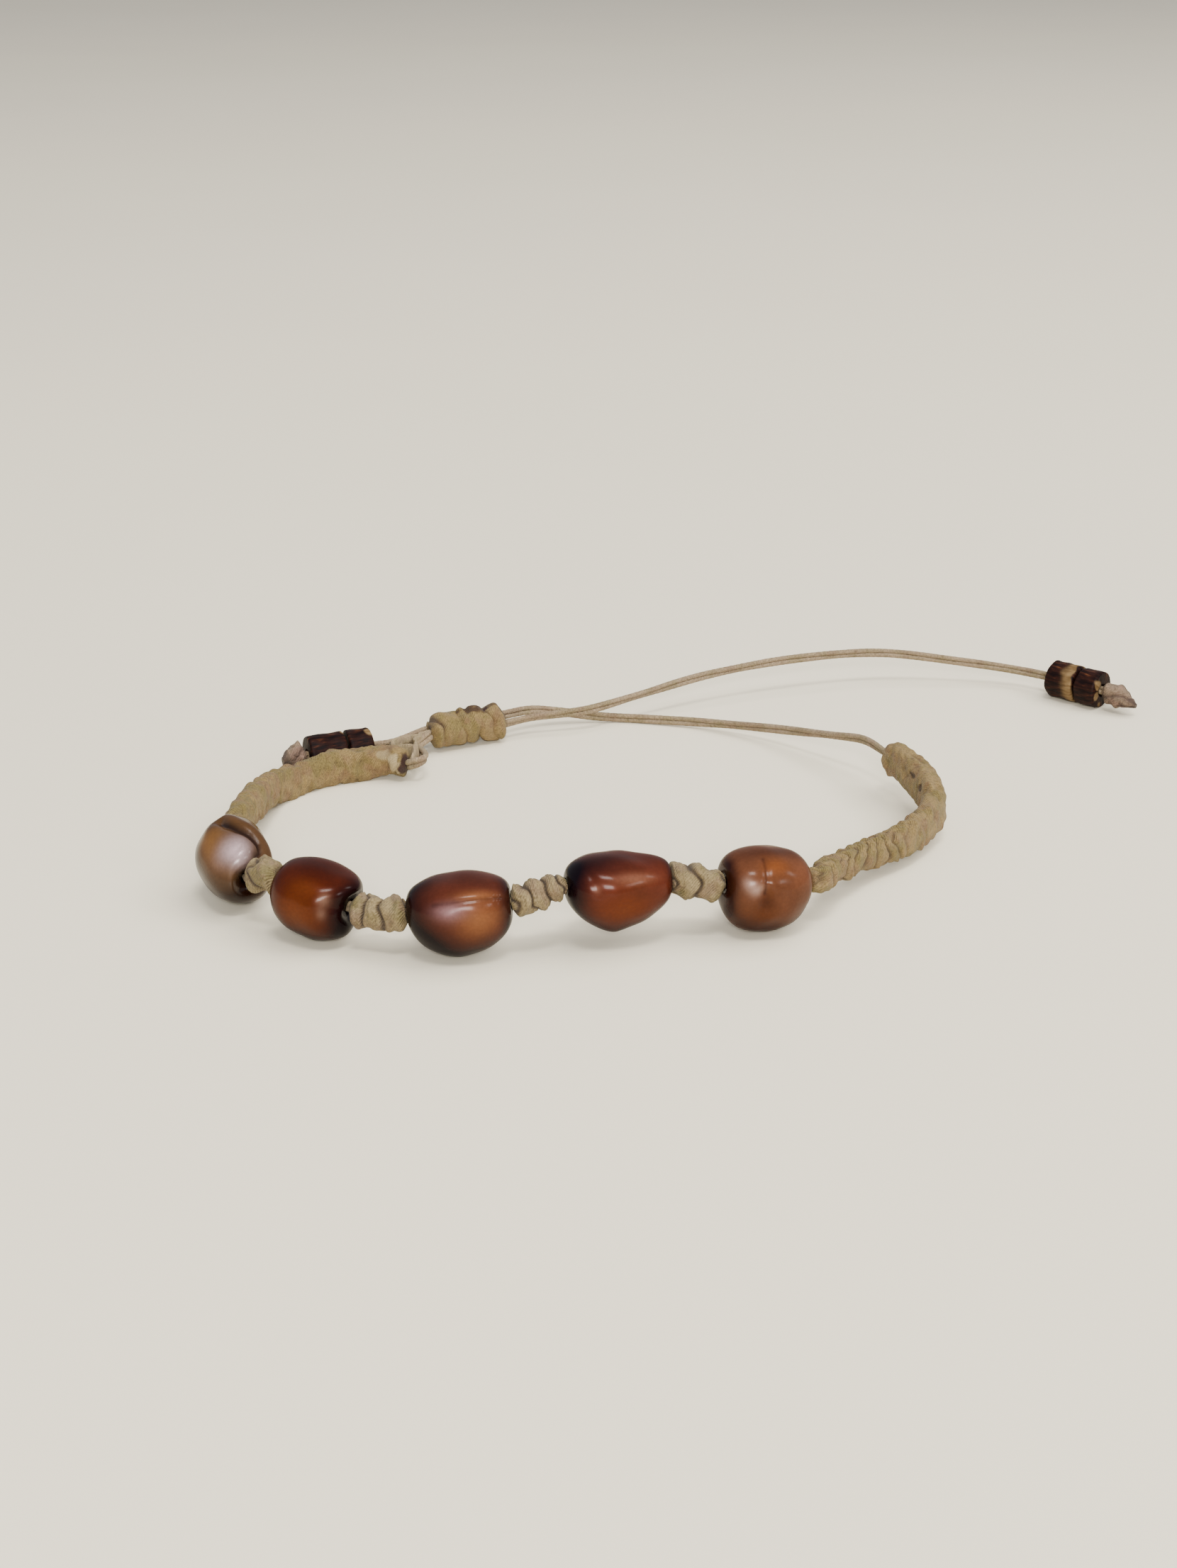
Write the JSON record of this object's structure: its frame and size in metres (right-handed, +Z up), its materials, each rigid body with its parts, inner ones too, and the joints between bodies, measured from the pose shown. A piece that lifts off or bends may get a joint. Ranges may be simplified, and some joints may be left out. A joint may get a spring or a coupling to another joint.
{
  "type": "pearl bracelet",
  "caption": "Adjustable bracelet of baroque pearls on knotted waxed cord, closed by a sliding knot with bead-ended pull cords, lying open on a surface.",
  "frame": {"origin": "on the surface that the bracelet lies on, under the middle of the box of everything but the long free pull cord and what is on it", "axes": "+Z up from the surface; +X along the row of pearls, from the dented taupe pearl to the round bronze one; +Y from the row of pearls to the sliding knot"},
  "size_m": [0.1057, 0.0819, 0.009],
  "materials": {
    "pearl_taupe": "smooth nacre, high lustre, taupe with a pink overtone",
    "pearl_brown": "smooth nacre, high lustre, red-brown with dark purple ends",
    "pearl_bronze": "smooth nacre, high lustre, bronze and copper",
    "knotted_cord": "waxed thread, matt with a dull wax sheen, khaki beige",
    "fine_cord": "waxed thread, satin, pinkish beige",
    "frayed_cord": "crushed and frayed waxed thread, matt",
    "shell_bead": "polished coconut shell, dark brown with tan patches"
  },
  "bodies": {
    "root": {"pearl_1": "pearl_taupe", "pearl_2": "pearl_brown", "pearl_3": "pearl_brown", "pearl_4": "pearl_bronze", "pearl_5": "pearl_bronze", "knot_1_2": "knotted_cord", "knot_2_3": "knotted_cord", "knot_3_4": "knotted_cord", "knot_4_5": "knotted_cord", "band_left": "knotted_cord", "band_right": "knotted_cord", "sliding_knot": "knotted_cord", "core_cord": "fine_cord", "closing_cord": "fine_cord", "link_cord": "fine_cord", "pull_cord_right": "fine_cord", "pull_cord_left": "fine_cord", "right_bead_1": "shell_bead", "right_bead_2": "shell_bead", "left_bead_1": "shell_bead", "left_bead_2": "shell_bead", "right_end_knot": "frayed_cord", "left_end_knot": "frayed_cord"}
  },
  "joints": []
}
